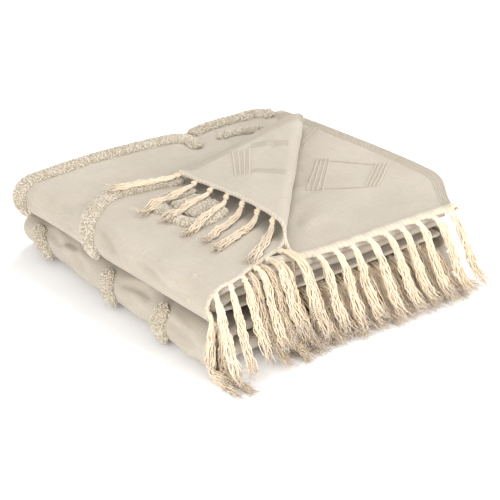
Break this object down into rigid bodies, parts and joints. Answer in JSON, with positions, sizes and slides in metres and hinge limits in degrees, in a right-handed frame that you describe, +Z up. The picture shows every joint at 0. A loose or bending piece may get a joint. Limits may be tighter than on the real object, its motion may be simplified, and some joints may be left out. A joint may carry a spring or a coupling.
{
  "type": "folded cotton throw blanket",
  "caption": "Soft cotton throw folded into a square stack, with raised tufted ridges, knotted fringe along its open side and one corner turned back.",
  "frame": {"origin": "bottom centre of the bounding box, on the surface that the throw rests on", "axes": "+Z up, +X along the fringed side towards the free right edge, +Y from the fringe towards the back folds"},
  "size_m": [0.3674, 0.372, 0.1042],
  "materials": {
    "canvas": "unbleached plain-weave cotton canvas, matt, with tiny dark seed flecks",
    "tufting": "dense looped cotton tufting, matt and granular",
    "fringe": "plied cotton warp yarns, knotted and frayed at the ends"
  },
  "bodies": {
    "root": {"Throw_Canvas": "canvas", "Tuft_Back_Edge": "tufting", "Tuft_Back_Branch": "tufting", "Tuft_Middle_Branch": "tufting", "Tuft_Long": "tufting", "Tuft_Loop_Front": "tufting", "Tuft_Loop_Back": "tufting", "Tuft_Loop_Heart": "tufting", "Tuft_Low_Far": "tufting", "Tuft_Low_Middle": "tufting", "Tuft_Low_Near": "tufting", "Fringe_1_Turned": "fringe", "Fringe_2_Upper": "fringe", "Fringe_3_Middle": "fringe", "Fringe_4_Middle": "fringe", "Fringe_5_Middle": "fringe", "Fringe_6_Middle": "fringe", "Fringe_7_Lower": "fringe", "Fringe_8_Lower": "fringe"}
  },
  "joints": []
}
